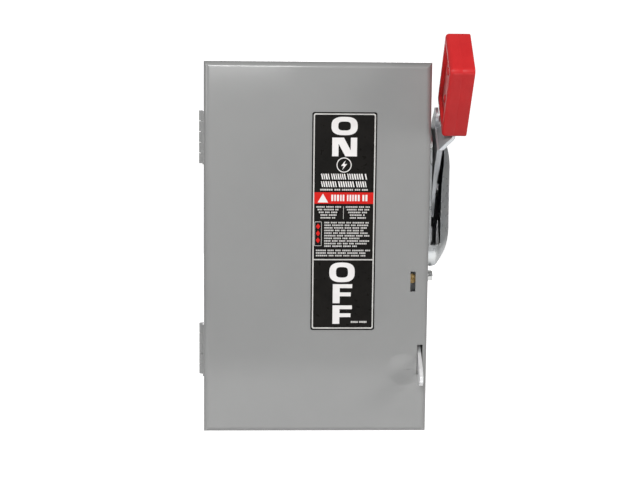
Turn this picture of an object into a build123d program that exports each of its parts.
from build123d import *
import os
from math import cos, radians, sin

# Side-handle safety disconnect switch.
# Frame: origin at the centre of the wall-mounting pattern on the back of the box,
# +Z up, -Y out of the wall towards the person at the switch, +X to that person's right.

os.makedirs("parts", exist_ok=True)

# ---------------------------------------------------------------- driving dimensions
DOOR_W = 214.0          # outside width of the door
DOOR_H = 355.0          # outside height of the door, centred on the mounting pattern
DEPTH = 127.0           # wall to the front of the door
SHEET = 1.5             # 16 gauge steel
BEND_R = 4.0            # outside bend radius of the box
DOOR_BEND_R = 5.5       # outside bend radius of the door
TOP_LAP = 5.0           # how far the door's edge stands above the box
BOTTOM_LAP = 3.5        # and how far it hangs below
DOOR_FLANGE = 14.0      # returned edge of the door
DOOR_GAP = 1.0          # room between the door's flange and the box
SEAT_GAP = 0.9          # room between the door's inside and the box's front lip
LIP = 8.0               # inward lip on the box's front edge
END_FLANGE = 12.0       # depth of the end walls' welded flanges

BOX_W = DOOR_W - 2 * (SHEET + DOOR_GAP)
BOX_H = DOOR_H - TOP_LAP - BOTTOM_LAP
BOX_D = DEPTH - SHEET - SEAT_GAP
MID_Z = (BOTTOM_LAP - TOP_LAP) / 2      # middle of the box
WALL_X = BOX_W / 2              # outside of the right wall
INNER_X = WALL_X - SHEET        # inside of the right wall
DOOR_Y = -DEPTH                 # front of the door
FLOOR_Y = -SHEET                # inside of the back wall

# wall-mounting holes
MOUNT_X = 152.4
MOUNT_Z = 292.0
MOUNT_R = 3.6

# hinges on the left edge
HINGE_PIN_X = -109.0
HINGE_PIN_Y = -109.5
HINGE_R = 2.7
HINGE_PIN_R = 1.2
HINGE_FIT = 0.05
HINGE_L = 50.5
HINGE_Z = (105.5, -98.5)
KNUCKLES = 5
LEAF_T = 1.2

# handle pivot on the right wall, and the arm in its ON position
PIVOT_Y = -54.0
PIVOT_Z = 50.0
ARM_LEAN = 39.0                 # degrees forward of vertical
ARM_T = 3.0
ARM_X = 113.4                   # inner face of the arm's flat
ARM_REAR = -31.0                # rear edge of the arm, behind the pivot line
GRIP_X = (117.0, 140.2)
GRIP_U = (88.9, 172.9)          # along the arm from the pivot
GRIP_V = (-35.9, 19.5)          # across the arm
RIVET_U = (114.0, 148.0)
SHAFT_R = 6.0
SHAFT_FIT = 0.05

# plated guard over the handle's hub
GUARD_Y = (-110.0, -14.0)
GUARD_Z = (-20.5, 112.0)
GUARD_TOP_X = 132.0

# switch poles, crossbar and fuses
POLE_X = (-70.0, -22.0, 26.0)
BASE_X = (-98.0, 54.0)
BASE_FACE_Y = -28.0
BAR_SIZE = 18.0
BLADE_T = 3.0
BLADE_HALF = 34.0
JAW_GAP = 0.3
FUSE_R = 7.15
FUSE_Y = -48.0
FUSE_Z = -45.0
FUSE_L = 50.8
FERRULE_L = 13.0

# door slots: the latch slot and the interlock access slot
LATCH_SLOT_X = (97.4, 102.8)
LATCH_SLOT_Z = (-121.0, -91.6)
ACCESS_SLOT_X = (89.7, 94.6)
ACCESS_SLOT_Z = (-39.9, -20.4)
LATCH_X = (98.0, 101.3)
LATCH_PIVOT = (-112.0, -98.0)
LATCH_TIP_Y = -150.0
LATCH_NOSE_Z = -127.5

# label on the door
LABEL_X = (-5.4, 55.6)
LABEL_Z = (-77.1, 130.9)
LABEL_T = 0.4

# shallow pressed dish beside the latch
DISH_X = 84.0
DISH_Z = -116.0


# ---------------------------------------------------------------- helpers
def block(x, y, z):
    """A box between two limits on each axis, joined to the part being built."""
    with Locations(((x[0] + x[1]) / 2, (y[0] + y[1]) / 2, (z[0] + z[1]) / 2)):
        Box(x[1] - x[0], y[1] - y[0], z[1] - z[0])


def cut_block(x, y, z):
    """A box between two limits on each axis, cut from the part being built."""
    with Locations(((x[0] + x[1]) / 2, (y[0] + y[1]) / 2, (z[0] + z[1]) / 2)):
        Box(x[1] - x[0], y[1] - y[0], z[1] - z[0], mode=Mode.SUBTRACT)


def rod_x(x, y, z, radius, mode=Mode.ADD):
    """A cylinder along X between two limits."""
    with BuildSketch(Plane.YZ.offset(x[0])) as profile:
        with Locations((y, z)):
            Circle(radius)
    extrude(profile.sketch, amount=x[1] - x[0], mode=mode)


def rod_y(x, y, z, radius, mode=Mode.ADD):
    """A cylinder along Y, from its front end y[0] back to y[1]."""
    with BuildSketch(Plane.XZ.offset(-y[1])) as profile:
        with Locations((x, z)):
            Circle(radius)
    extrude(profile.sketch, amount=y[1] - y[0], mode=mode)


def knockout_rings(radii):
    """Shallow partly sheared rings on the plane of the current sketch."""
    for radius in radii:
        Circle(radius)
        Circle(radius - 0.8, mode=Mode.SUBTRACT)


def pan_head_front(x, y, z, head_r, head_h, shank_r, shank_l):
    """A screw driven from the front, its head's seat at y."""
    rod_y(x, (y - head_h, y), z, head_r)
    rod_y(x, (y, y + shank_l), z, shank_r)
    cut_block((x - head_r, x + head_r), (y - head_h, y - head_h + 0.8), (z - 0.5, z + 0.5))


def pan_head_side(x, y, z, head_r, head_h, shank_r, shank_l):
    """A screw driven from the right, its head's seat at x."""
    rod_x((x, x + head_h), y, z, head_r)
    rod_x((x - shank_l, x), y, z, shank_r)
    cut_block((x + head_h - 0.8, x + head_h), (y - head_r, y + head_r), (z - 0.5, z + 0.5))


def save(item, label):
    """Name a finished piece and write its file."""
    item.part.label = label
    export_step(item.part, f"parts/{label}.step")


# arm frame: local x runs along the arm from the pivot, local y towards its front edge
ARM_DIR = (0, -sin(radians(ARM_LEAN)), cos(radians(ARM_LEAN)))
ARM_ACROSS = (0, -cos(radians(ARM_LEAN)), -sin(radians(ARM_LEAN)))


def arm_plane(x):
    return Plane(origin=(x, PIVOT_Y, PIVOT_Z), x_dir=ARM_DIR, z_dir=(1, 0, 0))


# ---------------------------------------------------------------- enclosure
with BuildPart() as enclosure_wrap:
    half = BOX_W / 2 - SHEET / 2
    front = -BOX_D + SHEET / 2
    with BuildSketch(Plane.XY.offset(MID_Z - BOX_H / 2)):
        with BuildLine():
            FilletPolyline(
                (-BOX_W / 2 + LIP, front),
                (-half, front),
                (-half, -SHEET / 2),
                (half, -SHEET / 2),
                (half, front),
                (BOX_W / 2 - LIP, front),
                radius=BEND_R - SHEET / 2,
            )
        trace(line_width=SHEET)
    extrude(amount=BOX_H)
    # the lips stop short of the end walls' flanges
    lip_end = BOX_H / 2 - END_FLANGE - SHEET
    for x in ((-INNER_X, LIP - INNER_X), (INNER_X - LIP, INNER_X)):
        for z in ((MID_Z - BOX_H / 2, MID_Z - lip_end), (MID_Z + lip_end, MID_Z + BOX_H / 2)):
            cut_block(x, (-BOX_D - 0.5, -BOX_D + BEND_R + 0.1), z)
    with BuildSketch(Plane.XZ):
        with GridLocations(MOUNT_X, MOUNT_Z, 2, 2):
            Circle(MOUNT_R)
    extrude(amount=SHEET, mode=Mode.SUBTRACT)
    with BuildSketch(Plane.XZ):
        with Locations((-40, -140), (40, -140)):
            knockout_rings((11.1, 14.3))
    extrude(amount=0.5, mode=Mode.SUBTRACT)
    for side in (-1, 1):
        with BuildSketch(Plane.YZ.offset(side * BOX_W / 2)):
            with Locations((-62, -135)):
                knockout_rings((11.1, 14.3, 17.5))
        extrude(amount=-side * 0.5, mode=Mode.SUBTRACT)
    rod_x((INNER_X - 1, WALL_X + 1), PIVOT_Y, PIVOT_Z, 8.0, mode=Mode.SUBTRACT)
    cut_block((INNER_X - LIP - 1, INNER_X - 0.5), (-BOX_D - 1, -BOX_D + 3), (-134.0, -84.0))
save(enclosure_wrap, "enclosure_wrap")


def end_wall(top):
    """An end wall with its four flanges welded inside the wrap's end."""
    width = BOX_W - 2 * SHEET
    depth = BOX_D - SHEET
    outer = MID_Z + top * BOX_H / 2
    with BuildPart() as wall:
        with BuildSketch(Plane.XY.offset(outer)):
            with Locations((0, -SHEET - depth / 2)):
                Rectangle(width, depth)
        extrude(amount=-top * END_FLANGE)
        fillet(wall.edges().filter_by(Axis.Z), BEND_R)
        open_face = wall.faces().sort_by(Axis.Z)[0 if top > 0 else -1]
        offset(amount=-SHEET, openings=open_face)
        with BuildSketch(Plane.XY.offset(outer)):
            with Locations((-60, -62), (60, -62)):
                knockout_rings((11.1, 14.3, 17.5))
            with Locations((0, -62)):
                knockout_rings((14.3, 17.5, 22.2))
        extrude(amount=-top * 0.5, mode=Mode.SUBTRACT)
    return wall


top_end_wall = end_wall(1)
save(top_end_wall, "top_end_wall")
bottom_end_wall = end_wall(-1)
save(bottom_end_wall, "bottom_end_wall")

# ---------------------------------------------------------------- door
with BuildPart() as door_pan:
    with BuildSketch(Plane.XZ.offset(DEPTH)):
        Rectangle(DOOR_W, DOOR_H)
    extrude(amount=-DOOR_FLANGE)
    fillet(door_pan.faces().sort_by(Axis.Y)[0].edges(), DOOR_BEND_R)
    offset(amount=-SHEET, openings=door_pan.faces().sort_by(Axis.Y)[-1])
    for side in (-1, 1):
        for end in (-1, 1):
            slit = Plane(
                origin=(side * DOOR_W / 2, DOOR_Y + DOOR_FLANGE, end * DOOR_H / 2),
                x_dir=(side, 0, end),
                z_dir=(-end, 0, side),
            )
            with BuildSketch(slit.offset(-0.2)):
                Rectangle(8.0, 2 * (DOOR_FLANGE - DOOR_BEND_R))
            extrude(amount=0.4, mode=Mode.SUBTRACT)
    cut_block(LATCH_SLOT_X, (DOOR_Y - 1, DOOR_Y + 3), LATCH_SLOT_Z)
    cut_block(ACCESS_SLOT_X, (DOOR_Y - 1, DOOR_Y + 3), ACCESS_SLOT_Z)
    with BuildSketch(Plane(origin=(DISH_X, DOOR_Y, DISH_Z), x_dir=(1, 0, 0), z_dir=(0, 0, 1))):
        with BuildLine():
            Spline((0.0, 0.28), (18.0, -0.02), tangents=((1.0, 0.0), (1.0, -0.004)))
            Polyline((18.0, -0.02), (18.0, -0.5), (0.0, -0.5), (0.0, 0.28))
        make_face()
    revolve(axis=Axis((DISH_X, DOOR_Y, DISH_Z), (0, 1, 0)), mode=Mode.SUBTRACT)
save(door_pan, "door_pan")

with BuildPart() as label_plate:
    with BuildSketch(Plane.XZ.offset(DEPTH)):
        with Locations((sum(LABEL_X) / 2, sum(LABEL_Z) / 2)):
            RectangleRounded(LABEL_X[1] - LABEL_X[0], LABEL_Z[1] - LABEL_Z[0], 2.0)
    extrude(amount=LABEL_T)
save(label_plate, "label_plate")

with BuildPart() as interlock_strike:
    block((80.0, 93.0), (DOOR_Y + SHEET, DOOR_Y + 3.0), (-4.0, 14.0))
    block((91.5, 93.0), (DOOR_Y + 3.0, -110.0), (-4.0, 14.0))
    rod_x((91.0, 94.0), -115.0, 5.0, 2.5, mode=Mode.SUBTRACT)
save(interlock_strike, "interlock_strike")


def hinge_leaf(centre_z, on_door):
    """One leaf of a five-knuckle hinge; the box has three knuckles and the door two."""
    pitch = HINGE_L / KNUCKLES
    low = centre_z - HINGE_L / 2
    with BuildPart() as leaf:
        if on_door:
            block((-DOOR_W / 2 - LEAF_T, -DOOR_W / 2), (DOOR_Y + DOOR_BEND_R, -114.0), (low, low + HINGE_L))
        else:
            block((-WALL_X - LEAF_T, -WALL_X), (-104.5, -88.0), (low, low + HINGE_L))
        for number in range(KNUCKLES):
            if (number % 2 == 1) != on_door:
                continue
            span = (low + number * pitch + 0.2, low + (number + 1) * pitch - 0.2)
            with BuildSketch(Plane.XY.offset(span[0])):
                with Locations((HINGE_PIN_X, HINGE_PIN_Y)):
                    Circle(HINGE_R)
            extrude(amount=span[1] - span[0])
            if on_door:
                block((-DOOR_W / 2 - LEAF_T, -DOOR_W / 2), (-114.0, HINGE_PIN_Y), span)
            else:
                block((-WALL_X - LEAF_T, -WALL_X), (HINGE_PIN_Y, -104.5), span)
                block((HINGE_PIN_X, -WALL_X), (HINGE_PIN_Y, HINGE_PIN_Y + LEAF_T), span)
        with BuildSketch(Plane.XY.offset(low)):
            with Locations((HINGE_PIN_X, HINGE_PIN_Y)):
                Circle(HINGE_PIN_R + (HINGE_FIT if on_door else 0.0))
        extrude(amount=HINGE_L, mode=Mode.SUBTRACT)
    return leaf


for place, centre in zip(("upper", "lower"), HINGE_Z):
    save(hinge_leaf(centre, False), f"{place}_hinge_box_leaf")
    save(hinge_leaf(centre, True), f"{place}_hinge_door_leaf")

with BuildPart() as hinge_pins:
    for centre in HINGE_Z:
        with BuildSketch(Plane.XY.offset(centre - HINGE_L / 2)):
            with Locations((HINGE_PIN_X, HINGE_PIN_Y)):
                Circle(HINGE_PIN_R)
        extrude(amount=HINGE_L)
save(hinge_pins, "hinge_pins")


# ---------------------------------------------------------------- handle guard
def guard_body(inset):
    """The guard's drawn shape: straight rim, rounded shoulder and shallow crown."""
    width = GUARD_Y[1] - GUARD_Y[0]
    height = GUARD_Z[1] - GUARD_Z[0]
    sections = (
        (WALL_X, 0.0, 18.0),
        (116.0, 0.0, 18.0),
        (121.5 - inset / 2, 6.0, 18.0),
        (126.8 - inset, 14.0, 17.0),
        (130.2 - inset, 24.0, 14.0),
        (GUARD_TOP_X - inset, 40.0, 6.0),
    )
    with BuildPart() as body:
        for x, shrink, corner in sections:
            with BuildSketch(Plane.YZ.offset(x)):
                with Locations((sum(GUARD_Y) / 2, sum(GUARD_Z) / 2)):
                    RectangleRounded(
                        width - 2 * (shrink + inset),
                        height - 2 * (shrink + inset),
                        corner - inset,
                    )
        loft(ruled=True)
    return body.part


guard_outside = guard_body(0.0)
guard_inside = guard_body(SHEET)
GUARD_TABS = ((-9.0, 15.0), (-9.0, 80.0), (-45.0, 118.0), (-45.0, -26.5))
TAB_X = (WALL_X, WALL_X + SHEET)
FIN_Y = -81.0                   # front of the pointed fin inside the guard
with BuildPart() as handle_guard:
    add(guard_outside)
    add(guard_inside, mode=Mode.SUBTRACT)
    # the slot that the arm sweeps, over the front wall and round the top corner
    with BuildSketch(Plane.XZ.offset(-GUARD_Y[0] + 2)):
        with BuildLine():
            Polyline(
                (110.3, 2.6), (119.9, 2.6), (120.3, 55.0), (122.5, 80.0), (122.8, 118.0), (110.3, 118.0),
                close=True,
            )
        make_face()
    extrude(amount=-56.0, mode=Mode.SUBTRACT)
    with BuildSketch(Plane.XZ.offset(-FIN_Y)):
        with BuildLine():
            Polyline(
                (118.9, -14.6), (121.9, -11.6), (121.9, 4.0), (120.0, 23.0), (118.9, 6.0), close=True
            )
        make_face()
    extrude(amount=-2.5)
    # upright plate standing on the guard's floor at the inner side of the slot
    block((110.2, 112.9), (-100.0, -97.6), (GUARD_Z[0] + 0.5, 19.0))
    for y, z in GUARD_TABS[:2]:
        block(TAB_X, (GUARD_Y[1] - SHEET, -3.0), (z - 7.0, z + 7.0))
    block(TAB_X, (-52.0, -38.0), (GUARD_Z[1] - SHEET, 124.0))
    block(TAB_X, (-52.0, -38.0), (-32.5, GUARD_Z[0] + SHEET))
    for y, z in GUARD_TABS:
        rod_x((WALL_X - 1, WALL_X + 3), y, z, 2.2, mode=Mode.SUBTRACT)
save(handle_guard, "handle_guard")

with BuildPart() as guard_screws:
    for y, z in GUARD_TABS:
        pan_head_side(WALL_X + SHEET, y, z, 4.0, 2.6, 2.2, SHEET)
save(guard_screws, "guard_screws")

# ---------------------------------------------------------------- handle
JOG_U = (76.0, 88.0)            # where the arm steps outward
ARM_OUT_X = (GRIP_X[0] + GRIP_X[1]) / 2
ARM_END_U = 160.0
SIDE_PLANE = Plane(
    origin=(0, PIVOT_Y, PIVOT_Z), x_dir=ARM_DIR, z_dir=tuple(-value for value in ARM_ACROSS)
)

EAR_U = 84.5
FRONT_EDGE = (
    (78.0, 24.0), (66.0, 21.8), (55.0, 21.0), (36.0, 22.0),
    (25.0, 24.7), (15.0, 28.6), (3.0, 31.5), (-4.0, 34.0),
)
LIP_T = 1.6                     # thickness of the lip along that edge
with BuildPart() as handle_arm:
    # the flat of the arm: hub, lobed front edge and rounded ear
    with BuildSketch(arm_plane(ARM_X)):
        Circle(26.0)
        with BuildLine():
            Spline(*FRONT_EDGE)
            Polyline(
                FRONT_EDGE[-1], (-9.0, 31.0), (-20.0, 0.0), (0.0, -26.0), (30.0, ARM_REAR),
                (62.0, ARM_REAR), (EAR_U, -24.0), (EAR_U, -7.0), (78.0, -7.0), FRONT_EDGE[0],
            )
        make_face()
        with Locations((EAR_U, -15.5)):
            Circle(8.5)
    extrude(amount=ARM_T)
    # the tongue steps outward into the grip
    with BuildPart(mode=Mode.PRIVATE) as tongue:
        with BuildSketch(SIDE_PLANE.offset(-70.0)):
            with BuildLine():
                FilletPolyline(
                    (60.0, ARM_X + ARM_T / 2),
                    (JOG_U[0], ARM_X + ARM_T / 2),
                    (JOG_U[1], ARM_OUT_X),
                    (ARM_END_U, ARM_OUT_X),
                    radius=4.0,
                )
            trace(line_width=ARM_T)
        extrude(amount=140.0)
        with BuildSketch(arm_plane(100.0)):
            with BuildLine():
                Polyline(
                    (60.0, 21.6), (78.0, 24.0), (98.0, 13.0), (98.0, 7.0), (ARM_END_U, 7.0), (ARM_END_U, -23.0),
                    (101.0, -23.0), (92.0, -5.5), (60.0, -5.5), close=True,
                )
            make_face()
        extrude(amount=60.0, mode=Mode.INTERSECT)
    add(tongue.part)
    # raised pad on the ear
    with BuildSketch(arm_plane(ARM_X + ARM_T - 0.2)):
        with Locations((70.0, -15.0)):
            RectangleRounded(25.0, 14.0, 5.0)
    extrude(amount=2.8)
    # stiffening lip along the front edge, widest at the grip
    with BuildPart(mode=Mode.PRIVATE) as lip:
        with BuildSketch(arm_plane(ARM_X + ARM_T - 0.5)):
            with BuildLine():
                Spline(*FRONT_EDGE)
                Polyline(FRONT_EDGE[-1], (FRONT_EDGE[-1][0], FRONT_EDGE[-1][1] - LIP_T))
                Spline(*[(u, v - LIP_T) for u, v in reversed(FRONT_EDGE)])
                Polyline((FRONT_EDGE[0][0], FRONT_EDGE[0][1] - LIP_T), FRONT_EDGE[0])
            make_face()
        extrude(amount=4.0)
        with BuildSketch(SIDE_PLANE.offset(-70.0)):
            with BuildLine():
                Polyline(
                    (-2.0, ARM_X + ARM_T - 0.5), (-2.0, ARM_X + ARM_T), (20.0, 116.6), (36.0, 117.4),
                    (52.0, 118.4), (76.0, 118.4), (76.0, ARM_X + ARM_T - 0.5), close=True,
                )
            make_face()
        extrude(amount=140.0, mode=Mode.INTERSECT)
    add(lip.part)
    with BuildSketch(arm_plane(ARM_X)):
        Rectangle(8.4, 8.4)
    extrude(amount=ARM_T, mode=Mode.SUBTRACT)
    with BuildSketch(arm_plane(100.0)):
        for u in RIVET_U:
            with Locations((u, -8.0)):
                Circle(2.5)
    extrude(amount=60.0, mode=Mode.SUBTRACT)
save(handle_arm, "handle_arm")

with BuildPart() as handle_grip:
    middle_u = sum(GRIP_U) / 2
    middle_v = sum(GRIP_V) / 2
    with BuildSketch(arm_plane(GRIP_X[0])):
        with Locations((middle_u, middle_v)):
            RectangleRounded(GRIP_U[1] - GRIP_U[0], GRIP_V[1] - GRIP_V[0], 5.0)
    extrude(amount=GRIP_X[1] - GRIP_X[0])
    fillet(handle_grip.faces().sort_by(Axis.X)[0].edges(), 3.2)
    fillet(handle_grip.faces().sort_by(Axis.X)[-1].edges(), 1.2)
    # recessed panel in the face towards the box
    with BuildSketch(arm_plane(GRIP_X[0])):
        with Locations((middle_u, middle_v)):
            RectangleRounded(GRIP_U[1] - GRIP_U[0] - 15.0, GRIP_V[1] - GRIP_V[0] - 15.0, 4.0)
    extrude(amount=3.0, mode=Mode.SUBTRACT)
    # pocket for the arm's tongue
    add(handle_arm.part, mode=Mode.SUBTRACT)
    for u in RIVET_U:
        with BuildSketch(arm_plane(GRIP_X[0] - 1)):
            with Locations((u, -8.0)):
                Circle(2.5)
        extrude(amount=GRIP_X[1] - GRIP_X[0] + 2, mode=Mode.SUBTRACT)
save(handle_grip, "handle_grip")

with BuildPart() as grip_rivets:
    for u in RIVET_U:
        with BuildSketch(arm_plane(GRIP_X[0] + 3.0)):
            with Locations((u, -8.0)):
                Circle(2.5)
        extrude(amount=GRIP_X[1] - GRIP_X[0] - 3.0)
        with BuildSketch(arm_plane(GRIP_X[0] + 1.6)):
            with Locations((u, -8.0)):
                Circle(4.0)
        extrude(amount=1.4)
save(grip_rivets, "grip_rivets")

with BuildPart() as handle_shaft:
    rod_x((86.0, 106.3), PIVOT_Y, PIVOT_Z, SHAFT_R)
    rod_x((106.3, ARM_X), PIVOT_Y, PIVOT_Z, 9.0)
    with BuildSketch(arm_plane(ARM_X)):
        Rectangle(8.4, 8.4)
    extrude(amount=ARM_T)
    rod_x((ARM_X + ARM_T, 123.0), PIVOT_Y, PIVOT_Z, 3.9)
save(handle_shaft, "handle_shaft")

with BuildPart() as shaft_nut:
    with BuildSketch(Plane.YZ.offset(ARM_X + ARM_T)):
        with Locations((PIVOT_Y, PIVOT_Z)):
            Circle(9.0)
    extrude(amount=1.2)
    with BuildSketch(Plane.YZ.offset(ARM_X + ARM_T + 1.2)):
        with Locations((PIVOT_Y, PIVOT_Z)):
            RegularPolygon(7.5, 6)
    extrude(amount=5.0)
    rod_x((ARM_X, 124.0), PIVOT_Y, PIVOT_Z, 3.9, mode=Mode.SUBTRACT)
save(shaft_nut, "shaft_nut")

with BuildPart() as shaft_bushing:
    rod_x((99.0, WALL_X), PIVOT_Y, PIVOT_Z, 8.0)
    rod_x((WALL_X, 106.0), PIVOT_Y, PIVOT_Z, 11.0)
    rod_x((98.0, 107.0), PIVOT_Y, PIVOT_Z, SHAFT_R + SHAFT_FIT, mode=Mode.SUBTRACT)
save(shaft_bushing, "shaft_bushing")

with BuildPart() as drive_cam:
    with BuildSketch(arm_plane(88.0)):
        Circle(15.0)
        with BuildLine():
            Polyline((-12.0, -8.0), (-24.0, -4.0), (-24.0, 4.0), (-12.0, 8.0), close=True)
        make_face()
        with BuildLine():
            Polyline((12.0, -8.0), (22.0, -3.0), (22.0, 3.0), (12.0, 8.0), close=True)
        make_face()
        Circle(SHAFT_R, mode=Mode.SUBTRACT)
    extrude(amount=4.0)
save(drive_cam, "drive_cam")

# ---------------------------------------------------------------- operating mechanism
BRACKET_Y = (-95.0, -20.0)
INNER_PLATE_X = 82.75
with BuildPart() as mechanism_bracket:
    with BuildSketch(Plane.XZ.offset(-BRACKET_Y[1])):
        with BuildLine():
            FilletPolyline(
                (INNER_X - SHEET / 2, -45.0),
                (INNER_X - SHEET / 2, 100.0),
                (INNER_PLATE_X, 100.0),
                (INNER_PLATE_X, 15.0),
                radius=3.0,
            )
        trace(line_width=SHEET)
    extrude(amount=BRACKET_Y[1] - BRACKET_Y[0])
    block((INNER_X - SHEET, INNER_X), (-108.0, BRACKET_Y[0]), (-45.0, -12.0))
    block((84.0, INNER_X), (-108.0, -106.5), (-45.0, -12.0))
    rod_x((80.0, 86.0), PIVOT_Y, PIVOT_Z, 5.05, mode=Mode.SUBTRACT)
    rod_x((98.0, 104.0), PIVOT_Y, PIVOT_Z, 8.0, mode=Mode.SUBTRACT)
    rod_x((98.0, 104.0), -80.0, 12.0, 2.5, mode=Mode.SUBTRACT)
    rod_y(92.15, (-110.0, -105.0), -29.0, 3.05, mode=Mode.SUBTRACT)
    for y, z in ((-30.0, 85.0), (-85.0, 85.0), (-30.0, -35.0)):
        rod_x((98.0, 104.0), y, z, 2.2, mode=Mode.SUBTRACT)
    for y in (-30.0, -78.0):
        rod_x((80.0, 86.0), y, 30.0, 2.0, mode=Mode.SUBTRACT)
save(mechanism_bracket, "mechanism_bracket")

with BuildPart() as bracket_screws:
    for y, z in ((-30.0, 85.0), (-85.0, 85.0), (-30.0, -35.0)):
        rod_x((INNER_X - SHEET - 3.0, INNER_X), y, z, 2.2)
        rod_x((INNER_X - SHEET - 3.0, INNER_X - SHEET), y, z, 4.2)
save(bracket_screws, "bracket_screws")

BOLT_Y = -98.0
BOLT_Z = -29.0
with BuildPart() as bracket_bolt:
    with BuildSketch(Plane.YZ.offset(109.5)):
        with Locations((BOLT_Y, BOLT_Z)):
            RegularPolygon(5.5, 6)
    extrude(amount=4.3)
    chamfer(bracket_bolt.faces().sort_by(Axis.X)[-1].edges(), 0.5)
    rod_x((WALL_X, 109.5), BOLT_Y, BOLT_Z, 3.0)
save(bracket_bolt, "bracket_bolt")

with BuildPart() as bolt_spacer:
    rod_x((WALL_X, 109.5), BOLT_Y, BOLT_Z, 6.0)
    rod_x((WALL_X, 109.5), BOLT_Y, BOLT_Z, 3.0, mode=Mode.SUBTRACT)
save(bolt_spacer, "bolt_spacer")


def coil(radius, wire, turns, pitch):
    """A closed-wound spring's outline on its own axis, as touching rings on a core."""
    length = turns * pitch
    with BuildPart(mode=Mode.PRIVATE) as spring:
        with BuildSketch(Plane.XY):
            Circle(radius - wire * 0.4)
            Circle(radius - wire, mode=Mode.SUBTRACT)
        extrude(amount=length)
        for number in range(turns):
            with BuildSketch(Plane.XY.offset(number * pitch + pitch * 0.15)):
                Circle(radius)
                Circle(radius - wire * 0.6, mode=Mode.SUBTRACT)
            extrude(amount=pitch * 0.7)
    return spring.part


drive_coil = coil(4.0, 1.2, 18, 1.6)
with BuildPart() as drive_springs:
    for y in (-30.0, -78.0):
        add(Pos(76.5, y, 34.0) * drive_coil)
        rod_x((73.5, 82.0), y, 30.0, 2.0)
        block((75.0, 78.0), (y - 1.0, y + 1.0), (31.0, 34.0))
save(drive_springs, "drive_springs")

LEVER_X = (95.0, 97.5)
LEVER_PIVOT = (-80.0, 12.0)
with BuildPart() as interlock_lever:
    with BuildSketch(Plane.YZ.offset(LEVER_X[0])):
        with Locations(LEVER_PIVOT):
            Circle(7.0)
        with BuildLine():
            Polyline(
                (-80.0, 19.0), (-112.0, 14.0), (-119.0, 14.0), (-119.0, 1.0), (-114.0, 1.0),
                (-112.0, 5.0), (-80.0, 5.0), close=True,
            )
        make_face()
        with Locations(LEVER_PIVOT):
            Circle(2.5 + SHAFT_FIT, mode=Mode.SUBTRACT)
    extrude(amount=LEVER_X[1] - LEVER_X[0])
save(interlock_lever, "interlock_lever")

with BuildPart() as interlock_pin:
    rod_x((93.4, INNER_X), LEVER_PIVOT[0], LEVER_PIVOT[1], 2.5)
    rod_x((92.4, 94.4), LEVER_PIVOT[0], LEVER_PIVOT[1], 4.0)
save(interlock_pin, "interlock_pin")

with BuildPart() as defeater_screw:
    rod_y(92.15, (-117.0, -108.4), -29.0, 4.4)
    rod_y(92.15, (-108.4, -102.0), -29.0, 3.0)
    cut_block((87.0, 97.0), (-117.0, -115.5), (-29.6, -28.4))
save(defeater_screw, "defeater_screw")

# ---------------------------------------------------------------- door latch
# The latch rides on the door: its nose stands out of the slot and its barb meets the strike.
PIN_Y, PIN_Z = LATCH_PIVOT
with BuildPart() as latch_hook:
    with BuildSketch(Plane.YZ.offset(LATCH_X[0])):
        with BuildLine():
            Polyline(
                (PIN_Y, -91.5), (-122.0, -97.0), (-130.0, -102.0), (LATCH_TIP_Y + 6.0, -111.0),
                (LATCH_TIP_Y, -118.0), (LATCH_TIP_Y, -123.0), (LATCH_TIP_Y + 4.0, LATCH_NOSE_Z),
                (-136.0, LATCH_NOSE_Z), (-132.0, -121.0), (-129.5, -119.0), (-120.0, -112.0),
                (PIN_Y, -104.5), close=True,
            )
        make_face()
        with Locations(LATCH_PIVOT):
            Circle(6.5)
        with BuildLine():
            Polyline(
                (PIN_Y, -96.0), (-101.0, -95.0), (-101.0, -89.0), (-97.5, -89.0), (-95.0, -94.0),
                (-95.0, -100.0), (PIN_Y, -102.0), close=True,
            )
        make_face()
        with Locations(LATCH_PIVOT):
            Circle(2.5 + SHAFT_FIT, mode=Mode.SUBTRACT)
    extrude(amount=LATCH_X[1] - LATCH_X[0])
    fillet(latch_hook.edges().filter_by(Axis.X).sort_by(Axis.Y)[:3], 2.0)
save(latch_hook, "latch_hook")

DOOR_BACK = DOOR_Y + SHEET
CHEEK_X = (94.6, 96.1)
with BuildPart() as latch_bracket:
    block((84.0, CHEEK_X[1]), (DOOR_BACK, DOOR_BACK + SHEET), (-112.0, -86.0))
    block(CHEEK_X, (DOOR_BACK + SHEET, -104.0), (-106.0, -90.0))
    rod_x((94.0, 98.0), PIN_Y, PIN_Z, 2.5, mode=Mode.SUBTRACT)
save(latch_bracket, "latch_bracket")

with BuildPart() as latch_pin:
    rod_x((93.8, 101.9), PIN_Y, PIN_Z, 2.5)
    rod_x((92.8, CHEEK_X[0]), PIN_Y, PIN_Z, 4.0)
save(latch_pin, "latch_pin")

with BuildPart() as latch_spring:
    rod_x((CHEEK_X[1], 97.7), PIN_Y, PIN_Z, 4.6)
    rod_x((CHEEK_X[1], 97.7), PIN_Y, PIN_Z, 2.6, mode=Mode.SUBTRACT)
save(latch_spring, "latch_spring")

with BuildPart() as latch_strike:
    block((INNER_X - SHEET, INNER_X), (-106.0, -90.0), (-88.2, -70.0))
    block((97.5, INNER_X - SHEET), (-106.0, -102.0), (-88.2, -86.7))
save(latch_strike, "latch_strike")

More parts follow.
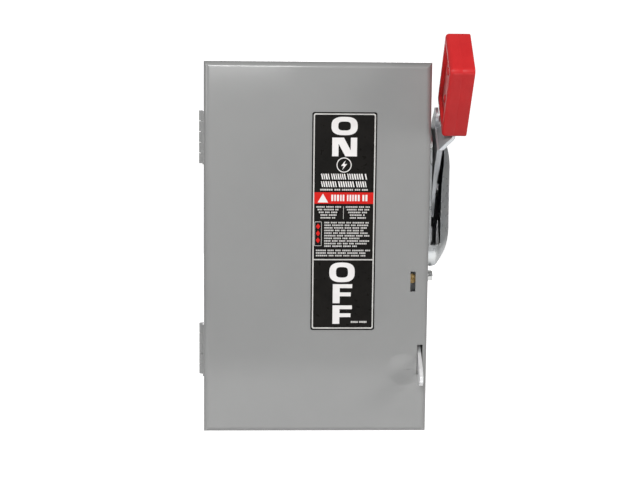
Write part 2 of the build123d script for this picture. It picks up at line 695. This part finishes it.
# ---------------------------------------------------------------- crossbar and blades
BAR_X = (-93.0, 66.0)
with BuildPart() as crossbar:
    block(
        BAR_X,
        (PIVOT_Y - BAR_SIZE / 2, PIVOT_Y + BAR_SIZE / 2),
        (PIVOT_Z - BAR_SIZE / 2, PIVOT_Z + BAR_SIZE / 2),
    )
    chamfer(crossbar.edges().filter_by(Axis.X), 2.0)
    rod_x((-101.0, BAR_X[0]), PIVOT_Y, PIVOT_Z, 5.0)
    rod_x((BAR_X[1], 85.0), PIVOT_Y, PIVOT_Z, 5.0)
    for x in POLE_X:
        cut_block(
            (x - BLADE_T / 2, x + BLADE_T / 2),
            (PIVOT_Y - 6.0, PIVOT_Y + 6.0),
            (PIVOT_Z - BAR_SIZE, PIVOT_Z + BAR_SIZE),
        )
save(crossbar, "crossbar")

with BuildPart() as moving_blades:
    for x in POLE_X:
        block(
            (x - BLADE_T / 2, x + BLADE_T / 2),
            (PIVOT_Y - 6.0, PIVOT_Y + 6.0),
            (PIVOT_Z - BLADE_HALF, PIVOT_Z + BLADE_HALF),
        )
    fillet(moving_blades.edges().filter_by(Axis.X), 2.0)
save(moving_blades, "moving_blades")

with BuildPart() as crossbar_lever:
    with BuildSketch(Plane.YZ.offset(68.0)):
        with Locations((PIVOT_Y, PIVOT_Z)):
            Circle(11.0)
            Rectangle(10.0, 48.0)
            Circle(5.0, mode=Mode.SUBTRACT)
    extrude(amount=3.0)
save(crossbar_lever, "crossbar_lever")

with BuildPart() as crossbar_support:
    block((-100.5, -99.0), (-66.0, FLOOR_Y), (36.0, 64.0))
    block((-99.0, -82.0), (-3.0, FLOOR_Y), (36.0, 64.0))
    rod_x((-102.0, -98.0), PIVOT_Y, PIVOT_Z, 5.05, mode=Mode.SUBTRACT)
save(crossbar_support, "crossbar_support")

# ---------------------------------------------------------------- bases and barriers
LINE_BASE_Z = (92.0, 152.0)
LOAD_BASE_Z = (-112.0, 4.0)
BARRIER_Y = -72.0
POLE_PITCH = POLE_X[1] - POLE_X[0]
BARRIER_X = [POLE_X[0] - POLE_PITCH / 2] + [x + POLE_PITCH / 2 for x in POLE_X]
BASE_SCREW_X = (POLE_X[0] + 17.0, POLE_X[2] + 17.0)


def switch_base(z, barrier_z):
    """A moulded base with a barrier either side of every pole."""
    with BuildPart() as base:
        block(BASE_X, (BASE_FACE_Y, FLOOR_Y), z)
        for x in BARRIER_X:
            block((x - 1.5, x + 1.5), (BARRIER_Y, BASE_FACE_Y), barrier_z)
        for x in BASE_SCREW_X:
            for level in (z[1] - 8.0, z[0] + 8.0):
                rod_y(x, (BASE_FACE_Y - 1, FLOOR_Y + 1), level, 2.4, mode=Mode.SUBTRACT)
    return base


line_base = switch_base(LINE_BASE_Z, (98.0, 152.0))
save(line_base, "line_base")
fuse_base = switch_base(LOAD_BASE_Z, (-112.0, 4.0))
save(fuse_base, "fuse_base")

with BuildPart() as base_screws:
    for z in (LINE_BASE_Z, LOAD_BASE_Z):
        for x in BASE_SCREW_X:
            for level in (z[1] - 8.0, z[0] + 8.0):
                pan_head_front(x, BASE_FACE_Y, level, 4.2, 2.8, 2.4, -BASE_FACE_Y - SHEET)
save(base_screws, "base_screws")

with BuildPart() as line_shield:
    block(BASE_X, (BARRIER_Y - 2.0, BARRIER_Y), (98.0, 152.0))
    for x in (-46.0, 2.0):
        rod_y(x, (BARRIER_Y - 3.0, BARRIER_Y + 1.0), 145.0, 2.0, mode=Mode.SUBTRACT)
save(line_shield, "line_shield")

with BuildPart() as shield_screws:
    for x in (-46.0, 2.0):
        rod_y(x, (BARRIER_Y - 4.2, BARRIER_Y - 2.0), 145.0, 3.6)
        rod_y(x, (BARRIER_Y - 2.0, BARRIER_Y), 145.0, 2.0)
save(shield_screws, "shield_screws")

# ---------------------------------------------------------------- current path
LEAF_X = (BLADE_T / 2 + JAW_GAP, BLADE_T / 2 + JAW_GAP + 1.5)
LUG_Z = 132.0
with BuildPart() as line_jaws:
    for x in POLE_X:
        block((x - 7.0, x + 7.0), (BASE_FACE_Y - 2.0, BASE_FACE_Y), (92.5, LUG_Z + 8.0))
        block((x - 3.3, x + 3.3), (BASE_FACE_Y - 8.0, BASE_FACE_Y - 2.0), (92.5, 97.0))
        for side in (-1, 1):
            leaf = sorted((x + side * LEAF_X[0], x + side * LEAF_X[1]))
            block(leaf, (-64.0, BASE_FACE_Y - 2.0), (74.0, 97.0))
    for x in POLE_X:
        rod_y(x, (BASE_FACE_Y - 3.0, BASE_FACE_Y + 1.0), LUG_Z, 3.0, mode=Mode.SUBTRACT)
save(line_jaws, "line_jaws")

CLIP_Z = (FUSE_Z + FUSE_L / 2 - FERRULE_L / 2, FUSE_Z - FUSE_L / 2 + FERRULE_L / 2)
CLIP_H = 10.0
with BuildPart() as load_jaws:
    for x in POLE_X:
        block((x - 7.0, x + 7.0), (BASE_FACE_Y - 2.0, BASE_FACE_Y), (CLIP_Z[0] + CLIP_H / 2, 4.0))
        block((x - 3.3, x + 3.3), (-62.0, BASE_FACE_Y - 2.0), (1.0, 4.0))
        block((x - 3.3, x + 3.3), (-62.0, -46.0), (4.0, 12.0))
        for side in (-1, 1):
            leaf = sorted((x + side * LEAF_X[0], x + side * LEAF_X[1]))
            block(leaf, (-62.0, -46.0), (12.0, 28.0))
save(load_jaws, "load_jaws")


def fuse_clips(centre_z, foot_to):
    """Spring clips round one ferrule of each fuse, with a foot on the base."""
    with BuildPart() as clips:
        for x in POLE_X:
            with BuildSketch(Plane.XY.offset(centre_z - CLIP_H / 2)):
                with Locations((x, FUSE_Y)):
                    Circle(FUSE_R + 1.3)
                with Locations((x, (FUSE_Y + BASE_FACE_Y) / 2)):
                    Rectangle(5.0, FUSE_Y - BASE_FACE_Y)
                with Locations((x, FUSE_Y)):
                    Circle(FUSE_R, mode=Mode.SUBTRACT)
                with Locations((x, FUSE_Y - FUSE_R)):
                    Rectangle(8.0, 8.0, mode=Mode.SUBTRACT)
            extrude(amount=CLIP_H)
        for x in POLE_X:
            span = sorted((centre_z + CLIP_H / 2, foot_to))
            block((x - 7.0, x + 7.0), (BASE_FACE_Y - 2.0, BASE_FACE_Y), (min(span[0], centre_z), span[1]))
    return clips


upper_fuse_clips = fuse_clips(CLIP_Z[0], CLIP_Z[0] + CLIP_H / 2)
save(upper_fuse_clips, "upper_fuse_clips")

LOAD_LUG_Z = -92.0
with BuildPart() as lower_fuse_clips:
    add(fuse_clips(CLIP_Z[1], CLIP_Z[1] + CLIP_H / 2).part)
    for x in POLE_X:
        block((x - 7.0, x + 7.0), (BASE_FACE_Y - 2.0, BASE_FACE_Y), (LOAD_LUG_Z - 8.0, CLIP_Z[1]))
        rod_y(x, (BASE_FACE_Y - 3.0, BASE_FACE_Y + 1.0), LOAD_LUG_Z, 3.0, mode=Mode.SUBTRACT)
save(lower_fuse_clips, "lower_fuse_clips")


def terminals(z):
    """Saddle terminals: a cupped washer under a slotted screw, one for each pole."""
    with BuildPart() as saddles:
        for x in POLE_X:
            block((x - 6.5, x + 6.5), (BASE_FACE_Y - 6.5, BASE_FACE_Y - 5.0), (z - 6.5, z + 6.5))
            block((x - 6.5, x - 5.0), (BASE_FACE_Y - 5.0, BASE_FACE_Y - 2.0), (z - 6.5, z + 6.5))
            block((x + 5.0, x + 6.5), (BASE_FACE_Y - 5.0, BASE_FACE_Y - 2.0), (z - 6.5, z + 6.5))
            rod_y(x, (BASE_FACE_Y - 7.0, BASE_FACE_Y - 4.0), z, 3.0, mode=Mode.SUBTRACT)
    with BuildPart() as screws:
        for x in POLE_X:
            pan_head_front(x, BASE_FACE_Y - 6.5, z, 5.0, 3.5, 3.0, 6.5)
    return saddles, screws


for side_name, level in (("line", LUG_Z), ("load", LOAD_LUG_Z)):
    saddles, screws = terminals(level)
    save(saddles, f"{side_name}_saddles")
    save(screws, f"{side_name}_terminal_screws")

with BuildPart() as fuse_bodies:
    for x in POLE_X:
        with BuildSketch(Plane.XY.offset(FUSE_Z - FUSE_L / 2 + FERRULE_L)):
            with Locations((x, FUSE_Y)):
                Circle(FUSE_R - 0.4)
        extrude(amount=FUSE_L - 2 * FERRULE_L)
save(fuse_bodies, "fuse_bodies")

with BuildPart() as fuse_ferrules:
    for x in POLE_X:
        for low in (FUSE_Z - FUSE_L / 2, FUSE_Z + FUSE_L / 2 - FERRULE_L):
            with BuildSketch(Plane.XY.offset(low)):
                with Locations((x, FUSE_Y)):
                    Circle(FUSE_R)
            extrude(amount=FERRULE_L)
save(fuse_ferrules, "fuse_ferrules")

with BuildPart() as arc_shields:
    for x in POLE_X:
        for side in (-1, 1):
            wall = sorted((x + side * 9.0, x + side * 10.5))
            block(wall, (-68.0, BASE_FACE_Y), (64.0, 97.5))
        block((x - 10.5, x + 10.5), (-68.0, BASE_FACE_Y - 9.0), (97.5, 99.0))
save(arc_shields, "arc_shields")


# ---------------------------------------------------------------- neutral and ground bars
def wire_bar(x, z, standoff, count):
    """A bar with a row of wire screws, held off the back wall."""
    pitch = (x[1] - x[0]) / count
    with BuildPart() as bar:
        block(x, (FLOOR_Y - standoff - 10.0, FLOOR_Y - standoff), (z - 6.0, z + 6.0))
        for number in range(count):
            rod_y(
                x[0] + pitch * (number + 0.5),
                (FLOOR_Y - standoff - 11.0, FLOOR_Y - standoff - 4.0), z, 2.5, mode=Mode.SUBTRACT,
            )
    with BuildPart() as screws:
        for number in range(count):
            centre = x[0] + pitch * (number + 0.5)
            pan_head_front(centre, FLOOR_Y - standoff - 10.0, z, 4.0, 2.5, 2.5, 6.0)
    return bar, screws


neutral_bar, neutral_screws = wire_bar((-92.0, -32.0), -134.0, 12.0, 5)
save(neutral_bar, "neutral_bar")
save(neutral_screws, "neutral_screws")

with BuildPart() as neutral_insulators:
    for x in (-86.0, -38.0):
        block((x - 5.0, x + 5.0), (FLOOR_Y - 12.0, FLOOR_Y), (-141.0, -127.0))
save(neutral_insulators, "neutral_insulators")

ground_bar, ground_screws = wire_bar((30.0, 78.0), -134.0, 0.0, 4)
save(ground_bar, "ground_bar")
save(ground_screws, "ground_screws")
